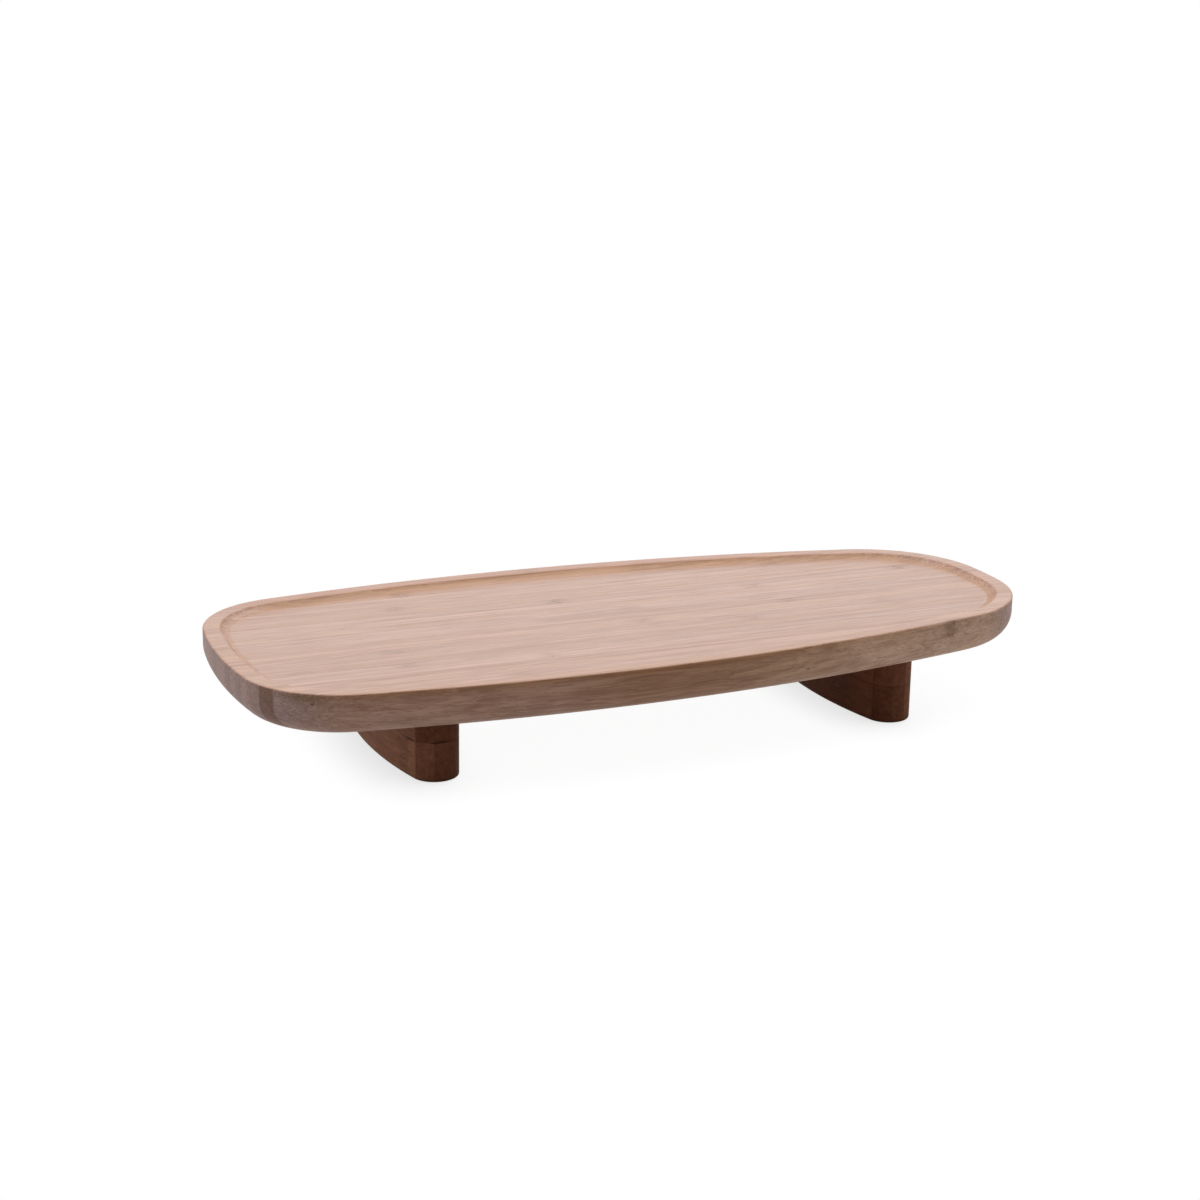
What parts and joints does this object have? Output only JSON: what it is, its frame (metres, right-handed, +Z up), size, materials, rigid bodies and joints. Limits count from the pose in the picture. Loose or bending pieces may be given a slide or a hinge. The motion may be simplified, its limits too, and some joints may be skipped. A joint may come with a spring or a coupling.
{
  "type": "serving board",
  "caption": "Egg-shaped bamboo serving board of upright glued staves, with a shallow coved tray and two cross feet of darker bamboo.",
  "frame": {"origin": "on the table, under the middle of the board's outline box", "axes": "+X along the board to its narrow end, +Y to its back edge, +Z up"},
  "size_m": [0.4, 0.172, 0.051],
  "materials": {
    "bamboo_natural": "satin oiled",
    "bamboo_dark": "satin oiled",
    "screw_steel": "zinc plated"
  },
  "bodies": {
    "root": {"stave_01": "bamboo_natural", "stave_02": "bamboo_natural", "stave_03": "bamboo_natural", "stave_04": "bamboo_natural", "stave_05": "bamboo_natural", "stave_06": "bamboo_natural", "stave_07": "bamboo_natural", "stave_08": "bamboo_natural", "stave_09": "bamboo_natural", "stave_10": "bamboo_natural", "stave_11": "bamboo_natural", "stave_12": "bamboo_natural", "stave_13": "bamboo_natural", "stave_14": "bamboo_natural", "stave_15": "bamboo_natural", "stave_16": "bamboo_natural", "stave_17": "bamboo_natural", "stave_18": "bamboo_natural", "stave_19": "bamboo_natural", "stave_20": "bamboo_natural", "stave_21": "bamboo_natural", "stave_22": "bamboo_natural", "stave_23": "bamboo_natural", "stave_24": "bamboo_natural", "broad_foot_lower_strip_1": "bamboo_dark", "broad_foot_lower_strip_2": "bamboo_dark", "broad_foot_lower_strip_3": "bamboo_dark", "broad_foot_lower_strip_4": "bamboo_dark", "broad_foot_lower_strip_5": "bamboo_dark", "broad_foot_upper_strip_1": "bamboo_dark", "broad_foot_upper_strip_2": "bamboo_dark", "broad_foot_upper_strip_3": "bamboo_dark", "broad_foot_upper_strip_4": "bamboo_dark", "broad_foot_upper_strip_5": "bamboo_dark", "narrow_foot_lower_strip_1": "bamboo_dark", "narrow_foot_lower_strip_2": "bamboo_dark", "narrow_foot_lower_strip_3": "bamboo_dark", "narrow_foot_lower_strip_4": "bamboo_dark", "narrow_foot_lower_strip_5": "bamboo_dark", "narrow_foot_upper_strip_1": "bamboo_dark", "narrow_foot_upper_strip_2": "bamboo_dark", "narrow_foot_upper_strip_3": "bamboo_dark", "narrow_foot_upper_strip_4": "bamboo_dark", "narrow_foot_upper_strip_5": "bamboo_dark", "foot_screws": "screw_steel"}
  },
  "joints": []
}
